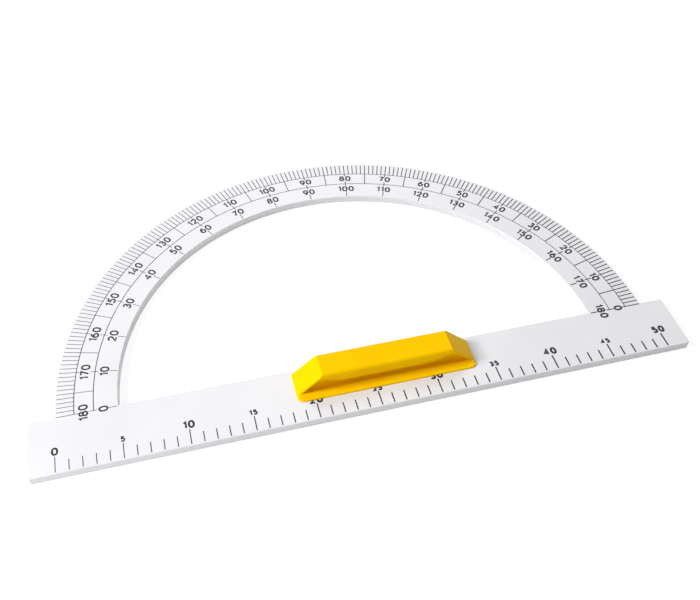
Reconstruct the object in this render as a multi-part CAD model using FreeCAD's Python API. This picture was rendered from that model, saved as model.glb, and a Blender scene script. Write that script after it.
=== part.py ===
import FreeCAD, Part
import math
import os

# Teacher's board protractor, in millimetres.
# A white moulded scale plate, half ring and straight bar in one piece, lies flat
# with its ribbed back down. A yellow moulded grip is screwed to the bar from behind.
# X runs along the bar, Y runs from the bar towards the top of the half ring, Z is up.
# The origin is the middle of the outline, on the plane that the plate rests on.

V = FreeCAD.Vector
UP = V(0, 0, 1)

# Scale plate
ring_outer_radius = 249.5
ring_inner_radius = 200.0
bar_length = 540.0
bar_width = 51.0
plate_thickness = 7.0
plate_corner_radius = 2.0
plate_edge_rounding = 1.0

# Ribbed back of the plate
skin_thickness = 2.5
rim_wall = 2.4
rib_thickness = 1.6
ring_bays = 15
bar_bays = 11

# Grip handle
grip_offset = 11.2
grip_base_length = 149.8
grip_top_length = 107.5
grip_height = 20.5
grip_width = 22.3
grip_back_margin = 4.0
grip_end_rim = 0.8
grip_top_rounding = 2.6
grip_end_rounding = 0.9

# Foot lip along the front of the handle
lip_reach = 6.4
lip_root_thickness = 2.6
lip_edge_thickness = 1.5
lip_corner_radius = 5.8
lip_edge_rounding = 0.6

# Finger recesses along both sides of the handle
recess_depth = 6.3
recess_cove_radius = 4.0
recess_end_wall = 1.7
cheek_lean = 2.0
cheek_lean_drop = 3.2
cheek_end_drop = 5.2
cheek_belly_drop = 12.8
cheek_belly_length = 68.0
cheek_rounding = 0.6

# Core slot moulded into the handle's underside
web_wall = 2.4
roof_wall = 3.0
screw_boss_diameter = 8.0

# Screws that hold the handle, driven from the back of the plate
screw_spacing = 90.0
screw_diameter = 4.0
screw_length = 16.0
screw_head_diameter = 8.0
screw_head_height = 2.2
screw_head_rim = 0.4
screw_head_sink = 0.3
screw_clearance = 0.1
screw_boss_wall = 1.8
recess_cross_width = 0.9
recess_cross_length = 4.0
recess_cross_depth = 1.5

# How far off an edge may lie and still be picked by its place
pick_margin = 0.01

# Places that follow from the sizes
vertex_y = (bar_width - ring_outer_radius) / 2
bar_front_y = vertex_y - bar_width
bar_mid_y = vertex_y - bar_width / 2
grip_back_y = vertex_y - grip_back_margin
grip_front_y = grip_back_y - grip_width
grip_mid_y = grip_back_y - grip_width / 2
grip_left_x = grip_offset - grip_base_length / 2
grip_right_x = grip_offset + grip_base_length / 2
grip_end_run = (grip_base_length - grip_top_length) / 2
grip_top_z = plate_thickness + grip_height
cheek_belly_z = grip_top_z - cheek_belly_drop
cheek_end_z = grip_top_z - cheek_end_drop
cheek_lean_z = grip_top_z - cheek_lean_drop
recess_floor_z = plate_thickness + lip_root_thickness
lip_front_y = grip_front_y - lip_reach
pocket_depth = plate_thickness - skin_thickness
slot_width = grip_width - 2 * (recess_depth + web_wall)
screw_xs = [grip_offset - screw_spacing / 2, grip_offset + screw_spacing / 2]


def around_vertex(radius, degrees, z=0.0):
    """Point at a radius and an angle from the vertex of the degree scale."""
    turn = math.radians(degrees)
    return V(radius * math.cos(turn), vertex_y + radius * math.sin(turn), z)


def line(start, end):
    return Part.LineSegment(start, end).toShape()


def arc(start, middle, end):
    return Part.Arc(start, middle, end).toShape()


def polygon_face(points):
    return Part.Face(Part.makePolygon(points + points[:1]))


def edges_where(shape, test):
    """Edges whose bounding box passes the test."""
    return [edge for edge in shape.Edges if test(edge.BoundBox)]


def rounded_bar():
    """Straight bar with rounded corners and a softly rounded upper edge."""
    bar = Part.makeBox(bar_length, bar_width, plate_thickness, V(-bar_length / 2, bar_front_y, 0))
    uprights = edges_where(bar, lambda box: box.ZLength > plate_thickness / 2)
    bar = bar.makeFillet(plate_corner_radius, uprights)
    upper_edges = edges_where(bar, lambda box: box.ZMin > plate_thickness - pick_margin)
    return bar.makeFillet(plate_edge_rounding, upper_edges)


def rounded_ring():
    """Half ring on two short legs that run into the bar, its curved upper edges softly rounded."""
    leg = V(0, -3 * plate_edge_rounding, 0)
    outer = [around_vertex(ring_outer_radius, turn) for turn in (0, 90, 180)]
    inner = [around_vertex(ring_inner_radius, turn) for turn in (0, 90, 180)]
    ring = Part.Face(Part.Wire([
        arc(*outer),
        line(outer[2], outer[2] + leg),
        line(outer[2] + leg, inner[2] + leg),
        line(inner[2] + leg, inner[2]),
        arc(inner[2], inner[1], inner[0]),
        line(inner[0], inner[0] + leg),
        line(inner[0] + leg, outer[0] + leg),
        line(outer[0] + leg, outer[0])])).extrude(UP * plate_thickness)
    foot_y = vertex_y + leg.y + pick_margin
    upper_edges = edges_where(
        ring, lambda box: box.ZMin > plate_thickness - pick_margin and box.YMax > foot_y)
    return ring.makeFillet(plate_edge_rounding, upper_edges)


def pocket(plan):
    """Pocket cut up from the back."""
    return plan.extrude(UP * pocket_depth)


def ring_bay(inner, outer, start, end):
    """Plan of one pocket of the ring, drawn in from two radial ribs of even thickness."""
    middle = (start + end) / 2
    inner_slip = math.degrees(math.asin(rib_thickness / 2 / inner))
    outer_slip = math.degrees(math.asin(rib_thickness / 2 / outer))
    inner_start = around_vertex(inner, start + inner_slip)
    inner_end = around_vertex(inner, end - inner_slip)
    outer_start = around_vertex(outer, start + outer_slip)
    outer_end = around_vertex(outer, end - outer_slip)
    return Part.Face(Part.Wire([
        arc(inner_start, around_vertex(inner, middle), inner_end),
        line(inner_end, outer_end),
        arc(outer_end, around_vertex(outer, middle), outer_start),
        line(outer_start, inner_start)]))


def ring_pockets():
    """Pockets round the ring, parted by radial ribs at even steps."""
    inner = ring_inner_radius + rim_wall
    outer = ring_outer_radius - rim_wall
    bay = 180.0 / ring_bays
    return [pocket(ring_bay(inner, outer, index * bay, (index + 1) * bay))
            for index in range(ring_bays)]


def bar_pockets():
    """Pockets along the bar, parted by cross ribs at even steps."""
    bay = (bar_length - 2 * rim_wall + rib_thickness) / bar_bays
    width = bay - rib_thickness
    front = bar_front_y + rim_wall
    back = vertex_y - rim_wall
    pockets = []
    for index in range(bar_bays):
        left = -bar_length / 2 + rim_wall + index * bay
        pockets.append(pocket(polygon_face([
            V(left, front, 0), V(left + width, front, 0),
            V(left + width, back, 0), V(left, back, 0)])))
    return pockets


def screw_seat(x):
    """Clearance hole and countersink in the plate for one handle screw."""
    hole_radius = screw_diameter / 2 + screw_clearance
    head_radius = screw_head_diameter / 2 + screw_clearance
    cone_base = screw_head_sink + screw_head_rim
    cone_height = screw_head_height - screw_head_rim
    hole = Part.makeCylinder(hole_radius, plate_thickness, V(x, grip_mid_y, 0))
    mouth = Part.makeCylinder(head_radius, cone_base, V(x, grip_mid_y, 0))
    cone = Part.makeCone(head_radius, hole_radius, cone_height, V(x, grip_mid_y, cone_base))
    return hole.fuse([mouth, cone])


def scale_plate():
    """White plate: one moulding with a ribbed back and two screw columns."""
    plate = rounded_bar().fuse(rounded_ring()).removeSplitter()
    plate = plate.cut(Part.makeCompound(ring_pockets() + bar_pockets()))
    column_radius = screw_head_diameter / 2 + screw_clearance + screw_boss_wall
    for x in screw_xs:
        column = Part.makeCylinder(column_radius, pocket_depth + skin_thickness / 2, V(x, grip_mid_y, 0))
        plate = plate.fuse(column)
    for x in screw_xs:
        plate = plate.cut(screw_seat(x))
    return plate.removeSplitter()


def grip_side_profile(y, inset=0.0, roof=0.0):
    """Side view of the grip: level top between two slanted ends, on the plate's face."""
    base_z = plate_thickness
    slant_z = base_z + grip_end_rim
    top_z = grip_top_z - roof
    top_inset = inset + grip_end_run * (top_z - slant_z) / (grip_height - grip_end_rim)
    return [V(grip_left_x + inset, y, base_z), V(grip_left_x + inset, y, slant_z),
            V(grip_left_x + top_inset, y, top_z), V(grip_right_x - top_inset, y, top_z),
            V(grip_right_x - inset, y, slant_z), V(grip_right_x - inset, y, base_z)]


def grip_block():
    """Solid body of the grip: rounded long edges, then slanted ends with rounded outlines."""
    base_z = plate_thickness
    round_z = grip_top_z - grip_top_rounding
    sweep = grip_top_rounding * (1 - math.sqrt(0.5))

    def at(y, z):
        return V(grip_left_x, y, z)

    end_view = Part.Face(Part.Wire([
        line(at(grip_front_y, base_z), at(grip_front_y, round_z)),
        arc(at(grip_front_y, round_z), at(grip_front_y + sweep, grip_top_z - sweep),
            at(grip_front_y + grip_top_rounding, grip_top_z)),
        line(at(grip_front_y + grip_top_rounding, grip_top_z),
             at(grip_back_y - grip_top_rounding, grip_top_z)),
        arc(at(grip_back_y - grip_top_rounding, grip_top_z),
            at(grip_back_y - sweep, grip_top_z - sweep), at(grip_back_y, round_z)),
        line(at(grip_back_y, round_z), at(grip_back_y, base_z)),
        line(at(grip_back_y, base_z), at(grip_front_y, base_z))]))
    bar = end_view.extrude(V(grip_base_length, 0, 0))
    block = bar.common(polygon_face(grip_side_profile(grip_front_y)).extrude(V(0, grip_width, 0)))
    slant_low = base_z + grip_end_rim - pick_margin
    outlines = edges_where(
        block, lambda box: box.ZMin > slant_low and box.XLength < grip_end_run + pick_margin
        and (box.ZLength > pick_margin or box.ZMin > grip_top_z - pick_margin))
    return block.makeFillet(grip_end_rounding, outlines)


def lip_plan():
    """Plan of the foot lip and its root under the recess, its two front corners rounded."""
    root_y = grip_front_y + recess_depth
    corner_y = lip_front_y + lip_corner_radius
    sweep = lip_corner_radius * (1 - math.sqrt(0.5))

    def at(x, y):
        return V(x, y, plate_thickness)

    return Part.Face(Part.Wire([
        line(at(grip_left_x, root_y), at(grip_left_x, corner_y)),
        arc(at(grip_left_x, corner_y), at(grip_left_x + sweep, lip_front_y + sweep),
            at(grip_left_x + lip_corner_radius, lip_front_y)),
        line(at(grip_left_x + lip_corner_radius, lip_front_y),
             at(grip_right_x - lip_corner_radius, lip_front_y)),
        arc(at(grip_right_x - lip_corner_radius, lip_front_y),
            at(grip_right_x - sweep, lip_front_y + sweep), at(grip_right_x, corner_y)),
        line(at(grip_right_x, corner_y), at(grip_right_x, root_y)),
        line(at(grip_right_x, root_y), at(grip_left_x, root_y))]))


def foot_lip():
    """Thin foot lip, rooted in the web under the recess, its rim rounded and its ends slanted."""
    base_z = plate_thickness
    root_y = grip_front_y + recess_depth
    edge_z = base_z + lip_edge_thickness
    root_z = base_z + lip_root_thickness
    section = polygon_face([
        V(grip_left_x, root_y, base_z), V(grip_left_x, lip_front_y, base_z),
        V(grip_left_x, lip_front_y, edge_z), V(grip_left_x, grip_front_y, root_z),
        V(grip_left_x, root_y, root_z)])
    lip = section.extrude(V(grip_base_length, 0, 0)).common(lip_plan().extrude(UP * grip_height))
    upper_rim = edges_where(
        lip, lambda box: box.YMax < grip_front_y - lip_reach + lip_corner_radius + pick_margin
        and box.XLength > pick_margin and box.ZMin > edge_z - pick_margin)
    lip = lip.makeFillet(lip_edge_rounding, upper_rim)
    side = polygon_face(grip_side_profile(lip_front_y)).extrude(V(0, lip_reach + recess_depth, 0))
    return lip.common(side)


def recess_half_length(z):
    """Half the length of the recesses at a height, between end walls that follow the slant."""
    slant_run = grip_end_run / (grip_height - grip_end_rim)
    wall_run = recess_end_wall * math.hypot(1.0, slant_run)
    return grip_base_length / 2 - wall_run - slant_run * (z - plate_thickness - grip_end_rim)


def recess_outline(y):
    """Side outline of a finger recess: level floor, slanted ends, and the belly of the cheek."""
    floor_x = recess_half_length(recess_floor_z)
    end_x = recess_half_length(cheek_end_z)
    belly_x = cheek_belly_length / 2
    middle_x = (belly_x + end_x) / 2
    middle_z = (cheek_belly_z + cheek_end_z) / 2
    run = middle_x - belly_x
    rise = middle_z - cheek_belly_z
    radius = (run ** 2 + rise ** 2) / (2 * rise)
    half_turn = math.asin(run / radius) / 2
    arc_run = radius * math.sin(half_turn)
    arc_rise = radius * (1 - math.cos(half_turn))

    def at(x, z):
        return V(grip_offset + x, y, z)

    def rising_curve(side):
        """Two even arcs from the belly up to the end of the cheek, level where they start and stop."""
        return [arc(at(side * belly_x, cheek_belly_z),
                    at(side * (belly_x + arc_run), cheek_belly_z + arc_rise),
                    at(side * middle_x, middle_z)),
                arc(at(side * middle_x, middle_z),
                    at(side * (end_x - arc_run), cheek_end_z - arc_rise),
                    at(side * end_x, cheek_end_z))]

    return Part.Face(Part.Wire(Part.__sortEdges__(
        [line(at(-floor_x, recess_floor_z), at(floor_x, recess_floor_z)),
         line(at(floor_x, recess_floor_z), at(end_x, cheek_end_z)),
         line(at(-belly_x, cheek_belly_z), at(belly_x, cheek_belly_z)),
         line(at(-floor_x, recess_floor_z), at(-end_x, cheek_end_z))]
        + rising_curve(1) + rising_curve(-1))))


def cheek_relief(side):
    """Thin wedge taken off a side face, so that the cheek leans in towards its foot."""
    face_y = grip_mid_y + side * grip_width / 2
    outer_y = face_y + side * lip_reach
    lean_rate = cheek_lean / (cheek_belly_drop - cheek_lean_drop)
    foot_y = face_y - side * lean_rate * (cheek_lean_z - recess_floor_z)
    wedge = polygon_face([
        V(grip_left_x, outer_y, recess_floor_z), V(grip_left_x, foot_y, recess_floor_z),
        V(grip_left_x, face_y, cheek_lean_z),
        V(grip_left_x, outer_y, cheek_lean_z)]).extrude(V(grip_base_length, 0, 0))
    low_x = recess_half_length(recess_floor_z)
    high_x = recess_half_length(cheek_lean_z)
    start_y = face_y - side * recess_depth
    between_ends = polygon_face([
        V(grip_offset - low_x, start_y, recess_floor_z), V(grip_offset + low_x, start_y, recess_floor_z),
        V(grip_offset + high_x, start_y, cheek_lean_z),
        V(grip_offset - high_x, start_y, cheek_lean_z)]).extrude(V(0, side * (recess_depth + lip_reach), 0))
    return wedge.common(between_ends)


def recess_section(side):
    """End view of a finger recess: level floor, then a cove up to the web."""
    face_y = grip_mid_y + side * grip_width / 2
    outer_y = face_y + side * lip_reach
    web_y = face_y - side * recess_depth
    cove_y = web_y + side * recess_cove_radius
    floor_z = recess_floor_z
    sweep = recess_cove_radius * (1 - math.sqrt(0.5))

    def at(y, z):
        return V(grip_left_x, y, z)

    return Part.Face(Part.Wire([
        line(at(outer_y, floor_z), at(cove_y, floor_z)),
        arc(at(cove_y, floor_z), at(web_y + side * sweep, floor_z + sweep),
            at(web_y, floor_z + recess_cove_radius)),
        line(at(web_y, floor_z + recess_cove_radius), at(web_y, grip_top_z)),
        line(at(web_y, grip_top_z), at(outer_y, grip_top_z)),
        line(at(outer_y, grip_top_z), at(outer_y, floor_z))]))


def finger_recess(side):
    """Scoop for the fingers on the front (side -1) or the back (side 1) of the grip."""
    reach = recess_depth + lip_reach
    start_y = grip_mid_y + side * grip_width / 2 - side * recess_depth
    outline = recess_outline(start_y).extrude(V(0, side * reach, 0))
    section = recess_section(side).extrude(V(grip_base_length, 0, 0))
    return outline.common(section)


def core_slot():
    """Slot moulded up into the web, left solid round the two screw bosses."""
    front = grip_mid_y - slot_width / 2
    end_wall = web_wall * 2
    slot = polygon_face(grip_side_profile(front, end_wall, roof_wall)).extrude(V(0, slot_width, 0))
    for x in screw_xs:
        foot = V(x, grip_mid_y, plate_thickness)
        slot = slot.cut(Part.makeCylinder(screw_boss_diameter / 2, grip_height, foot))
    return slot


def screw_socket(x):
    """Hole in the handle's boss for one screw."""
    depth = screw_head_sink + screw_length - plate_thickness + screw_clearance * 10
    radius = screw_diameter / 2 + screw_clearance
    return Part.makeCylinder(radius, depth, V(x, grip_mid_y, plate_thickness))


def rounded_cheeks(grip):
    """Round the lower rims of the cheeks."""
    lean_rate = cheek_lean / (cheek_belly_drop - cheek_lean_drop)

    def on_cheek(box):
        for side in (-1, 1):
            face_y = grip_mid_y + side * grip_width / 2
            low = face_y - side * lean_rate * (cheek_lean_z - box.ZMin)
            high = face_y - side * lean_rate * (cheek_lean_z - box.ZMax)
            if max(abs(min(low, high) - box.YMin), abs(max(low, high) - box.YMax)) < pick_margin:
                return True
        return False

    rims = edges_where(
        grip, lambda box: on_cheek(box) and box.ZMin > cheek_belly_z - pick_margin
        and box.ZMax < cheek_end_z + pick_margin)
    return grip.makeFillet(cheek_rounding, rims)


def grip_handle():
    """Yellow handle: slanted-end grip with a foot lip, finger recesses and a cored underside."""
    grip = grip_block().fuse(foot_lip())
    grip = grip.cut([cheek_relief(-1), cheek_relief(1), finger_recess(-1), finger_recess(1)])
    grip = rounded_cheeks(grip.removeSplitter())
    return grip.cut([core_slot()] + [screw_socket(x) for x in screw_xs])


def handle_screw(x):
    """Countersunk blunt-ended screw with a cross recess, its head just inside the plate's back."""
    shank_radius = screw_diameter / 2
    head_radius = screw_head_diameter / 2
    base = V(x, grip_mid_y, screw_head_sink)
    rim = Part.makeCylinder(head_radius, screw_head_rim, base)
    cone = Part.makeCone(head_radius, shank_radius, screw_head_height - screw_head_rim,
                         base + UP * screw_head_rim)
    shank = Part.makeCylinder(shank_radius, screw_length, base)
    screw = rim.fuse([cone, shank])
    for length, width in ((recess_cross_length, recess_cross_width),
                          (recess_cross_width, recess_cross_length)):
        corner = base - V(length / 2, width / 2, 0)
        screw = screw.cut(Part.makeBox(length, width, recess_cross_depth, corner))
    return screw.removeSplitter()


def handle_screws():
    return Part.makeCompound([handle_screw(x) for x in screw_xs])


def write_node(name, shape):
    shape.exportStep("parts/" + name + ".step")
    box = shape.BoundBox
    print(name, "solids", len(shape.Solids), "valid", shape.isValid(),
          "volume %.0f" % shape.Volume, "box", [round(v, 2) for v in (
              box.XMin, box.YMin, box.ZMin, box.XMax, box.YMax, box.ZMax)])


os.makedirs("parts", exist_ok=True)
write_node("scale_plate", scale_plate())
write_node("grip_handle", grip_handle())
write_node("handle_screws", handle_screws())
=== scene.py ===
import math

import bpy
from mathutils import Matrix, Vector
from mathutils.geometry import delaunay_2d_cdt


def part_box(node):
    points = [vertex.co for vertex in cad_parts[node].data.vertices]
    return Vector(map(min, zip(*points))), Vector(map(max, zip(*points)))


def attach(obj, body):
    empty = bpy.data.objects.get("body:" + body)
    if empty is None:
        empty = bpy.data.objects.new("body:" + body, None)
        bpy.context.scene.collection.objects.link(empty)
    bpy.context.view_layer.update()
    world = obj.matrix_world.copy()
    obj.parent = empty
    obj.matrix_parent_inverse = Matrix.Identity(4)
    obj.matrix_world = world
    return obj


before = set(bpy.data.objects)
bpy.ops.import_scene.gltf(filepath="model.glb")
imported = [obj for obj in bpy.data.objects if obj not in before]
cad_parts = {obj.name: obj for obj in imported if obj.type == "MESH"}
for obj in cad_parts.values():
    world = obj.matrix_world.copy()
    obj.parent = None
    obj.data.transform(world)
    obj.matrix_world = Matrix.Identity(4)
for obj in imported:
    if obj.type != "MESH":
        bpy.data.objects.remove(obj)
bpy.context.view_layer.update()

# Teacher's board protractor: a white moulded plate with screen-printed scales,
# and a yellow moulded grip screwed to its bar.
# Metres throughout, except the printed scales, which are drawn in millimetres from the vertex.

plate_low, plate_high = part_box("scale_plate")

MM = 0.001
BAR_WIDTH = 51.0
VERTEX = Vector((0.0, plate_low.y + BAR_WIDTH * MM, plate_high.z))

# A screen print stands a few hundredths of a millimetre proud, and here it also reaches a little
# into the plate, so that no gap shows under it.
INK_PROUD = 0.04
INK_SUNK = 0.02

# Strength of the room's light on the tool; the camera sees the room at a strength of 1.
ROOM_LEVEL = 0.12


# Small helpers for materials

def linear(hex_colour):
    """An sRGB colour such as 'F2F2F4' as linear red, green, blue and an alpha of 1."""
    parts = [int(hex_colour[place:place + 2], 16) / 255 for place in (0, 2, 4)]
    return tuple(p / 12.92 if p <= 0.04045 else ((p + 0.055) / 1.055) ** 2.4 for p in parts) + (1.0,)


def per_metre(millimetres):
    """Texture scale that repeats about once every so many millimetres."""
    return 1.0 / (millimetres * MM)


def add(tree, kind, settings=None, inputs=None):
    """Add a node, set its own settings, and fill its inputs with values or with other sockets."""
    node = tree.nodes.new(kind)
    for name, value in (settings or {}).items():
        setattr(node, name, value)
    for name, value in (inputs or {}).items():
        if isinstance(value, bpy.types.NodeSocket):
            tree.links.new(value, node.inputs[name])
        else:
            node.inputs[name].default_value = value
    return node


def empty_material(name):
    """A node material with nothing in it but its output."""
    material = bpy.data.materials.new(name)
    material.use_nodes = True
    material.node_tree.nodes.clear()
    return material, material.node_tree


def looked_at(tree):
    """1 for a ray from the camera or one that a glossy or clear surface sends on, otherwise 0."""
    ray = add(tree, "ShaderNodeLightPath")
    seen = add(tree, "ShaderNodeMath", {"operation": "MAXIMUM"}, {
        0: ray.outputs["Is Camera Ray"], 1: ray.outputs["Is Glossy Ray"]})
    seen_all = add(tree, "ShaderNodeMath", {"operation": "MAXIMUM"}, {
        0: seen.outputs["Value"], 1: ray.outputs["Is Transmission Ray"]})
    return seen_all.outputs["Value"]


# Materials

def moulded_white_polystyrene():
    """High-impact polystyrene from a finely blasted mould: even cool white with a soft satin sheen.

    The eye gets faint cloudy flow in the white, a fine grain that breaks the reflections up,
    and a few hairline rubs where the tool slides on a board."""
    material, tree = empty_material("moulded_white_polystyrene")
    place = add(tree, "ShaderNodeTexCoord")
    # Flow of the melt shows as clouds some 70 mm wide.
    cloud = add(tree, "ShaderNodeTexNoise", inputs={
        "Vector": place.outputs["Object"], "Scale": per_metre(70), "Detail": 2.0, "Roughness": 0.5})
    tint = add(tree, "ShaderNodeValToRGB", inputs={"Fac": cloud.outputs["Fac"]})
    tint.color_ramp.elements[0].position = 0.35
    tint.color_ramp.elements[0].color = linear("E2E2E6")
    tint.color_ramp.elements[1].position = 0.65
    tint.color_ramp.elements[1].color = linear("E6E6E9")
    # Real blasted grain is about 0.1 mm; it is drawn at 0.7 mm so that it shows at all.
    grain = add(tree, "ShaderNodeTexNoise", inputs={
        "Vector": place.outputs["Object"], "Scale": per_metre(0.7), "Detail": 3.0, "Roughness": 0.6})
    # Rubs run mostly along the bar, so the pattern is drawn out that way: 60 mm long, 0.6 mm apart.
    drawn = add(tree, "ShaderNodeMapping", inputs={
        "Vector": place.outputs["Object"], "Scale": (per_metre(60), per_metre(0.6), per_metre(20))})
    rubs = add(tree, "ShaderNodeTexNoise", inputs={
        "Vector": drawn.outputs["Vector"], "Scale": 1.0, "Detail": 2.0, "Roughness": 0.7})
    rub_edge = add(tree, "ShaderNodeMapRange", inputs={
        "Value": rubs.outputs["Fac"], "From Min": 0.62, "From Max": 0.78, "To Min": 0.0, "To Max": 1.0})
    sheen = add(tree, "ShaderNodeMapRange", inputs={
        "Value": cloud.outputs["Fac"], "From Min": 0.3, "From Max": 0.7, "To Min": 0.36, "To Max": 0.44})
    roughness = add(tree, "ShaderNodeMath", {"operation": "MULTIPLY_ADD"}, {
        0: rub_edge.outputs["Result"], 1: 0.12, 2: sheen.outputs["Result"]})
    relief = add(tree, "ShaderNodeBump", inputs={
        "Strength": 0.10, "Distance": 0.03 * MM, "Height": grain.outputs["Fac"]})
    body = add(tree, "ShaderNodeBsdfPrincipled", inputs={
        "Base Color": tint.outputs["Color"], "Roughness": roughness.outputs["Value"],
        "IOR": 1.59, "Specular IOR Level": 0.5, "Normal": relief.outputs["Normal"]})
    add(tree, "ShaderNodeOutputMaterial", inputs={"Surface": body.outputs["BSDF"]})
    return material


def moulded_yellow_abs():
    """ABS from a spark-eroded mould: strong warm yellow with a low, even gloss.

    The eye gets a saturated colour that turns orange where it lights itself, and a fine leathery
    grain. The grain breaks most of the gloss, so the white sheet hardly pales the slanted ends."""
    material, tree = empty_material("moulded_yellow_abs")
    place = add(tree, "ShaderNodeTexCoord")
    # Colour and gloss drift a little over some 22 mm.
    cloud = add(tree, "ShaderNodeTexNoise", inputs={
        "Vector": place.outputs["Object"], "Scale": per_metre(22), "Detail": 2.0, "Roughness": 0.5})
    tint = add(tree, "ShaderNodeValToRGB", inputs={"Fac": cloud.outputs["Fac"]})
    tint.color_ramp.elements[0].position = 0.35
    tint.color_ramp.elements[0].color = linear("FFC700")
    tint.color_ramp.elements[1].position = 0.65
    tint.color_ramp.elements[1].color = linear("FFCC00")
    # Spark-eroded grain is about 0.2 mm; it is drawn at 0.5 mm so that it shows.
    grain = add(tree, "ShaderNodeTexNoise", inputs={
        "Vector": place.outputs["Object"], "Scale": per_metre(0.5), "Detail": 3.0, "Roughness": 0.65})
    sheen = add(tree, "ShaderNodeMapRange", inputs={
        "Value": cloud.outputs["Fac"], "From Min": 0.3, "From Max": 0.7, "To Min": 0.42, "To Max": 0.5})
    relief = add(tree, "ShaderNodeBump", inputs={
        "Strength": 0.16, "Distance": 0.04 * MM, "Height": grain.outputs["Fac"]})
    body = add(tree, "ShaderNodeBsdfPrincipled", inputs={
        "Base Color": tint.outputs["Color"], "Roughness": sheen.outputs["Result"],
        "IOR": 1.54, "Specular IOR Level": 0.06, "Specular Tint": linear("FFC832"),
        "Normal": relief.outputs["Normal"]})
    add(tree, "ShaderNodeOutputMaterial", inputs={"Surface": body.outputs["BSDF"]})
    return material


def zinc_plated_steel():
    """Cold-headed steel screw, barrel-plated in bright zinc: pale bluish metal, a little cloudy.

    The eye gets a soft metallic shine with dull patches where the zinc has bloomed."""
    material, tree = empty_material("zinc_plated_steel")
    place = add(tree, "ShaderNodeTexCoord")
    # Bloom comes in patches of about 1.5 mm.
    bloom = add(tree, "ShaderNodeTexNoise", inputs={
        "Vector": place.outputs["Object"], "Scale": per_metre(1.5), "Detail": 4.0, "Roughness": 0.6})
    tint = add(tree, "ShaderNodeValToRGB", inputs={"Fac": bloom.outputs["Fac"]})
    tint.color_ramp.elements[0].position = 0.3
    tint.color_ramp.elements[0].color = linear("B4B8BC")
    tint.color_ramp.elements[1].position = 0.7
    tint.color_ramp.elements[1].color = linear("D6D9DD")
    dull = add(tree, "ShaderNodeMapRange", inputs={
        "Value": bloom.outputs["Fac"], "From Min": 0.3, "From Max": 0.7, "To Min": 0.42, "To Max": 0.26})
    relief = add(tree, "ShaderNodeBump", inputs={
        "Strength": 0.2, "Distance": 0.02 * MM, "Height": bloom.outputs["Fac"]})
    body = add(tree, "ShaderNodeBsdfPrincipled", inputs={
        "Base Color": tint.outputs["Color"], "Metallic": 1.0, "Roughness": dull.outputs["Result"],
        "Normal": relief.outputs["Normal"]})
    add(tree, "ShaderNodeOutputMaterial", inputs={"Surface": body.outputs["BSDF"]})
    return material


def screen_printed_ink():
    """Solvent ink squeezed through a mesh screen: near-black with a hint of blue, almost matt.

    The eye gets a dense dark line whose tone varies slightly with the thickness of the film."""
    material, tree = empty_material("screen_printed_ink")
    place = add(tree, "ShaderNodeTexCoord")
    # The film thins and thickens over about 0.8 mm.
    film = add(tree, "ShaderNodeTexNoise", inputs={
        "Vector": place.outputs["Object"], "Scale": per_metre(0.8), "Detail": 3.0, "Roughness": 0.6})
    tint = add(tree, "ShaderNodeValToRGB", inputs={"Fac": film.outputs["Fac"]})
    tint.color_ramp.elements[0].position = 0.3
    tint.color_ramp.elements[0].color = linear("16161F")
    tint.color_ramp.elements[1].position = 0.75
    tint.color_ramp.elements[1].color = linear("2A2A36")
    matt = add(tree, "ShaderNodeMapRange", inputs={
        "Value": film.outputs["Fac"], "From Min": 0.3, "From Max": 0.7, "To Min": 0.5, "To Max": 0.62})
    body = add(tree, "ShaderNodeBsdfPrincipled", inputs={
        "Base Color": tint.outputs["Color"], "Roughness": matt.outputs["Result"],
        "IOR": 1.5, "Specular IOR Level": 0.35})
    add(tree, "ShaderNodeOutputMaterial", inputs={"Surface": body.outputs["BSDF"]})
    return material


def white_paper_sweep():
    """Matt white paper under the tool. The camera and reflections see it lifted to white,
    with the tool's shadow kept; all other light sees plain paper."""
    material, tree = empty_material("white_paper_sweep")
    place = add(tree, "ShaderNodeTexCoord")
    # Clumps of fibre are about 3 mm.
    fibre = add(tree, "ShaderNodeTexNoise", inputs={
        "Vector": place.outputs["Object"], "Scale": per_metre(3), "Detail": 2.0})
    tint = add(tree, "ShaderNodeValToRGB", inputs={"Fac": fibre.outputs["Fac"]})
    tint.color_ramp.elements[0].color = linear("EFEFEF")
    tint.color_ramp.elements[1].color = linear("F3F3F3")
    paper = add(tree, "ShaderNodeBsdfDiffuse", inputs={"Color": tint.outputs["Color"]})
    shadow_paper = add(tree, "ShaderNodeBsdfDiffuse", inputs={"Color": linear("7C7B7B")})
    # Past the reach of the lamps, in metres from the middle, the sheet is lifted the whole way,
    # so that no far edge shows.
    lamps_end, all_white, lift_near, lift_far = 0.4, 1.4, 0.86, 1.0
    away = add(tree, "ShaderNodeVectorMath", {"operation": "LENGTH"}, {0: place.outputs["Object"]})
    glow = add(tree, "ShaderNodeMapRange", inputs={
        "Value": away.outputs["Value"], "From Min": lamps_end, "From Max": all_white,
        "To Min": lift_near, "To Max": lift_far})
    lift = add(tree, "ShaderNodeEmission", inputs={
        "Color": (1.0, 1.0, 1.0, 1.0), "Strength": glow.outputs["Result"]})
    lifted = add(tree, "ShaderNodeAddShader", inputs={0: shadow_paper.outputs["BSDF"], 1: lift.outputs[0]})
    mix = add(tree, "ShaderNodeMixShader", inputs={
        "Fac": looked_at(tree), 1: paper.outputs["BSDF"], 2: lifted.outputs["Shader"]})
    add(tree, "ShaderNodeOutputMaterial", inputs={"Surface": mix.outputs["Shader"]})
    return material


# Printed scales

def bow(cx, cy, rx, ry, start, end, squareness=0.0):
    """Points along part of an oval, from one angle to another. Squareness fills its shoulders."""
    steps = max(4, round(abs(end - start) / 12))
    points = []
    for step in range(steps + 1):
        turn = math.radians(start + (end - start) * step / steps)
        c, s = math.cos(turn), math.sin(turn)
        fill = 1.0 - squareness
        points.append(Vector((cx + rx * math.copysign(abs(c) ** fill, c),
                              cy + ry * math.copysign(abs(s) ** fill, s))))
    return points


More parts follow.
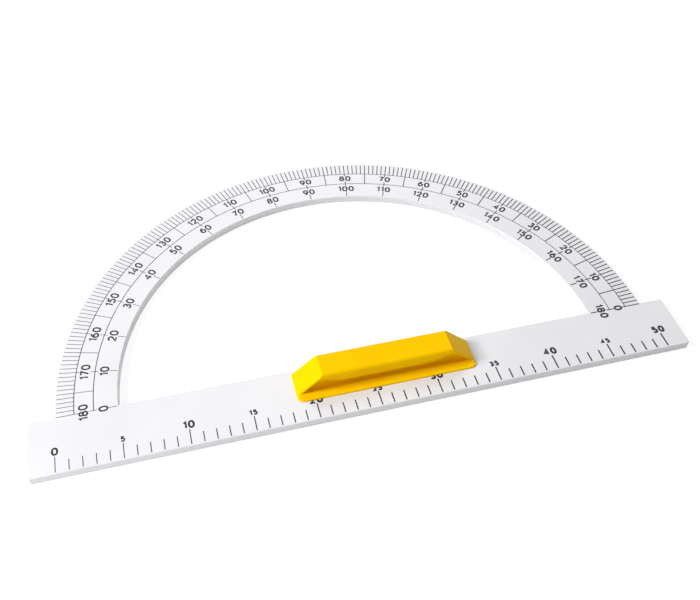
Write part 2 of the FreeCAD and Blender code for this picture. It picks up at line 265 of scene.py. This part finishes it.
def corners(*pairs):
    return [Vector(pair) for pair in pairs]


def half_turned(strokes, width):
    return [[Vector((width - point.x, 1.0 - point.y)) for point in line] for line in strokes]


# Pen strokes of a plain geometric numeral. Each is (width, strokes), in units of its height,
# measured at the middle of the pen.
SIX = (0.62, [bow(0.31, 0.31, 0.31, 0.31, 0, 360), bow(0.56, 0.31, 0.56, 0.69, 180, 99)])
NUMERAL_STROKES = {
    "0": (0.66, [bow(0.33, 0.5, 0.33, 0.5, 0, 360, 0.12)]),
    "1": (0.26, [corners((0.0, 0.77), (0.26, 1.0), (0.26, 0.0))]),
    "2": (0.62, [bow(0.30, 0.70, 0.29, 0.30, 172, -34) + corners((0.01, 0.0), (0.62, 0.0))]),
    "3": (0.60, [bow(0.29, 0.765, 0.25, 0.235, 155, -90) + corners((0.20, 0.53)),
                 corners((0.20, 0.53)) + bow(0.29, 0.265, 0.31, 0.265, 90, -152)]),
    "4": (0.68, [corners((0.48, 0.0), (0.48, 1.0), (0.0, 0.29), (0.68, 0.29))]),
    "5": (0.60, [corners((0.56, 1.0), (0.13, 1.0), (0.07, 0.50)), bow(0.29, 0.32, 0.31, 0.32, 136, -152)]),
    "6": SIX,
    "7": (0.58, [corners((0.0, 1.0), (0.58, 1.0), (0.20, 0.0))]),
    "8": (0.62, [bow(0.31, 0.765, 0.25, 0.235, 0, 360), bow(0.31, 0.265, 0.31, 0.265, 0, 360)]),
    "9": (0.62, half_turned(SIX[1], 0.62)),
}


def pen_line(points, width):
    """Line of ink of even width through the points, as four-cornered cells with mitred joints."""
    closed = (points[0] - points[-1]).length < 1e-6
    if closed:
        points = points[:-1]
    count = len(points)
    ways = [(points[(i + 1) % count] - points[i]).normalized() for i in range(count)]
    left, right = [], []
    for i, point in enumerate(points):
        into = ways[i - 1] if closed or i > 0 else ways[i]
        out = ways[i] if closed or i < count - 1 else ways[i - 1]
        along = (into + out).normalized()
        across = Vector((-along.y, along.x))
        reach = width / 2 / max(across.dot(Vector((-out.y, out.x))), 0.6)
        left.append(point + across * reach)
        right.append(point - across * reach)
    last = count if closed else count - 1
    return [[right[i], right[(i + 1) % count], left[(i + 1) % count], left[i]] for i in range(last)]


def numeral(text, cap_height, pen):
    """Cells of a number, centred on x = 0 and standing on y = 0."""
    height = cap_height - pen
    gap = 0.1 * cap_height
    widths = [NUMERAL_STROKES[digit][0] * height + pen for digit in text]
    left = -(sum(widths) + gap * (len(text) - 1)) / 2
    cells = []
    for digit, width in zip(text, widths):
        for stroke in NUMERAL_STROKES[digit][1]:
            line = [Vector((left + pen / 2 + point.x * height, pen / 2 + point.y * height))
                    for point in stroke]
            cells += pen_line(line, pen)
        left += width + gap
    return cells


def at_place(cells, x, y, degrees=0.0):
    """The cells turned, then moved to a place on the plate."""
    turn = Matrix.Rotation(math.radians(degrees), 2)
    return [[turn @ corner + Vector((x, y)) for corner in cell] for cell in cells]


def at_angle(cells, radius, degrees):
    """The cells set on a radius of the ring, their tops outward."""
    turn = math.radians(degrees)
    return at_place(cells, radius * math.cos(turn), radius * math.sin(turn), degrees - 90)


def radial_line(inner, outer, degrees, pen):
    turn = math.radians(degrees)
    out = Vector((math.cos(turn), math.sin(turn)))
    return pen_line([out * inner, out * outer], pen)


def ring_line(radius, pen):
    """Printed arc over the whole half turn, one cell to each degree."""
    points = [Vector((radius * math.cos(math.radians(d)), radius * math.sin(math.radians(d))))
              for d in range(181)]
    return pen_line(points, pen)


def printed(name, cells, material):
    """One closed film of ink that covers all the cells, lying on the plate."""
    flat, faces = [], []
    for cell in cells:
        faces.append(list(range(len(flat), len(flat) + 4)))
        flat += cell
    points, _, triangles, _, _, sources = delaunay_2d_cdt(flat, [], faces, 0, 1e-4)
    triangles = [list(t) for t, source in zip(triangles, sources) if source]
    used = sorted({corner for t in triangles for corner in t})
    place = {corner: number for number, corner in enumerate(used)}
    triangles = [[place[corner] for corner in t] for t in triangles]
    count = len(used)
    verts = []
    for lift in (INK_PROUD, -INK_SUNK):
        verts += [VERTEX + Vector((points[c].x, points[c].y, lift)) * MM for c in used]
    edges = {(t[i], t[(i + 1) % 3]) for t in triangles for i in range(3)}
    walls = [(b, a, a + count, b + count) for a, b in edges if (b, a) not in edges]
    faces = triangles + [[c + count for c in reversed(t)] for t in triangles] + walls
    mesh = bpy.data.meshes.new(name)
    mesh.from_pydata(verts, [], faces)
    mesh.materials.append(material)
    piece = bpy.data.objects.new(name, mesh)
    bpy.context.scene.collection.objects.link(piece)
    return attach(piece, "root")


def centimetre_scale(material):
    """Marks along the bar at each centimetre from 0 to 50, numbered at every fifth.

    The print is thin at the 0 end and swells towards 50."""
    last, middle, off_register = 50, 25, 0.35
    foot, short_top, long_top = -49.6, -40.1, -36.0
    tens_cap, fives_cap = 7.2, 5.2
    # The three numbers beside the handle stand a little lower, clear of its foot lip.
    beside_handle, baseline, lower_baseline = (20, 25, 30), -35.1, -35.9
    # Widths of the pen at the 0 end, and what each gains from one centimetre to the next.
    mark_pen, mark_gain = 0.66, 0.013
    tens_pen, tens_gain = 1.6, 0.01
    fives_pen, fives_gain = 1.25, 0.009
    marks, numbers = [], []
    for centimetre in range(last + 1):
        x = (centimetre - middle) * 10.0 + off_register
        fifth = centimetre % 5 == 0
        top = long_top if fifth else short_top
        marks += pen_line([Vector((x, foot)), Vector((x, top))], mark_pen + mark_gain * centimetre)
        if centimetre % 10 == 0:
            number = numeral(str(centimetre), tens_cap, tens_pen + tens_gain * centimetre)
        elif fifth:
            number = numeral(str(centimetre), fives_cap, fives_pen + fives_gain * centimetre)
        else:
            continue
        numbers += at_place(number, x, lower_baseline if centimetre in beside_handle else baseline)
    printed("centimetre_marks", marks, material)
    printed("centimetre_numerals", numbers, material)


def degree_scale(material):
    """Degree marks on the ring's rim, and two rows of numbers that run opposite ways.

    This print also swells towards the right-hand end. It lies a little off the moulding's own
    centre, to the right and towards the bar, as the screen was laid."""
    off_register = (0.45, -0.9)
    tick_outer, tick_inner, band_inner = 248.0, 234.6, 219.7
    stubs = ((231.5, tick_inner), (217.0, 223.5), (201.9, 208.5))
    cap, outer_foot, inner_foot = 7.6, 223.9, 208.5
    # Widths of the pen at 90 degrees, and what each gains at the right-hand end.
    ring_pen, tick_pen, tick_gain, bold_pen, bold_gain = 0.65, 0.75, 0.24, 1.6, 0.15
    lines = ring_line(tick_inner, ring_pen) + ring_line(band_inner, ring_pen)
    outer_row, inner_row = [], []
    for degree in range(181):
        rightward = math.cos(math.radians(degree))
        pen, numeral_pen = tick_pen + tick_gain * rightward, bold_pen + bold_gain * rightward
        lines += radial_line(tick_inner, tick_outer, degree, pen)
        if degree % 10 == 5:
            lines += radial_line(band_inner, tick_inner, degree, pen)
        elif degree % 10 == 0:
            for inner, outer in stubs:
                lines += radial_line(inner, outer, degree, pen)
            outer_row += at_angle(numeral(str(degree), cap, numeral_pen), outer_foot, degree)
            inner_row += at_angle(numeral(str(180 - degree), cap, numeral_pen), inner_foot, degree)
    printed("degree_lines", at_place(lines, *off_register), material)
    printed("degree_numerals_outer", at_place(outer_row, *off_register), material)
    printed("degree_numerals_inner", at_place(inner_row, *off_register), material)


def vertex_mark(material):
    """Short mark by the bar's back edge that is laid on the corner of the measured angle."""
    x, foot, top, pen = 0.45, -4.6, -1.1, 0.75
    printed("vertex_mark", pen_line([Vector((x, foot)), Vector((x, top))], pen), material)


# Light, floor and camera

def floor():
    mesh = bpy.data.meshes.new("floor")
    reach = 12.0
    mesh.from_pydata([(-reach, -reach, 0), (reach, -reach, 0), (reach, reach, 0), (-reach, reach, 0)],
                     [], [(0, 1, 2, 3)])
    mesh.materials.append(white_paper_sweep())
    sheet = bpy.data.objects.new("floor", mesh)
    bpy.context.scene.collection.objects.link(sheet)


def room_light():
    """Soft grey room light. The camera and reflections see the room as plain white."""
    world = bpy.data.worlds.new("white_room")
    world.use_nodes = True
    bpy.context.scene.world = world
    tree = world.node_tree
    tree.nodes.clear()
    strength = add(tree, "ShaderNodeMapRange", inputs={
        "Value": looked_at(tree), "To Min": ROOM_LEVEL, "To Max": 1.0})
    glow = add(tree, "ShaderNodeBackground", inputs={
        "Color": (1.0, 1.0, 1.0, 1.0), "Strength": strength.outputs["Result"]})
    add(tree, "ShaderNodeOutputWorld", inputs={"Surface": glow.outputs["Background"]})


def softbox(name, place, size, power):
    """Square soft light that faces the middle of the tool."""
    lamp = bpy.data.lights.new(name, "AREA")
    lamp.shape = "SQUARE"
    lamp.size = size
    lamp.energy = power
    box = bpy.data.objects.new(name, lamp)
    box.location = place
    box.rotation_euler = (-Vector(place)).to_track_quat("-Z", "Y").to_euler()
    bpy.context.scene.collection.objects.link(box)


def camera():
    """The photograph's viewpoint: about 0.77 m away, looking down at 48 degrees."""
    azimuth, down, roll = math.radians(15.957), math.radians(47.861), math.radians(1.633)
    place = Vector((-0.13374, -0.51516, 0.55822))
    ahead = Vector((math.sin(azimuth) * math.cos(down), math.cos(azimuth) * math.cos(down),
                    -math.sin(down)))
    level = ahead.cross(Vector((0, 0, 1))).normalized()
    upward = level.cross(ahead)
    right = level * math.cos(roll) + upward * math.sin(roll)
    above = right.cross(ahead)
    lens = bpy.data.cameras.new("camera")
    lens.lens = 43.80
    lens.sensor_width = 36.0
    lens.clip_start = 0.01
    eye = bpy.data.objects.new("camera", lens)
    eye.matrix_world = Matrix.Translation(place) @ Matrix((right, above, -ahead)).transposed().to_4x4()
    bpy.context.scene.collection.objects.link(eye)
    bpy.context.scene.camera = eye


def dress(node, material):
    """Give a CAD node its finish."""
    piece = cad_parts[node]
    piece.data.materials.clear()
    piece.data.materials.append(material)


dress("scale_plate", moulded_white_polystyrene())
dress("grip_handle", moulded_yellow_abs())
dress("handle_screws", zinc_plated_steel())

ink = screen_printed_ink()
centimetre_scale(ink)
degree_scale(ink)
vertex_mark(ink)

floor()
room_light()
# The key lamp throws the shadows. The other three only lift the faces that it leaves dark.
softbox("key_from_the_left", (-1.78, 0.0, 1.39), 0.55, 49.8)
softbox("glow_from_behind", (0.3, 1.1, 1.25), 0.8, 6.8)
softbox("fill_from_the_right", (1.2, 0.0, 1.0), 0.8, 4.6)
softbox("low_fill_near_the_left_end", (-0.45, -0.65, 0.2), 0.3, 1.25)
camera()
bpy.context.scene.view_settings.view_transform = "Standard"
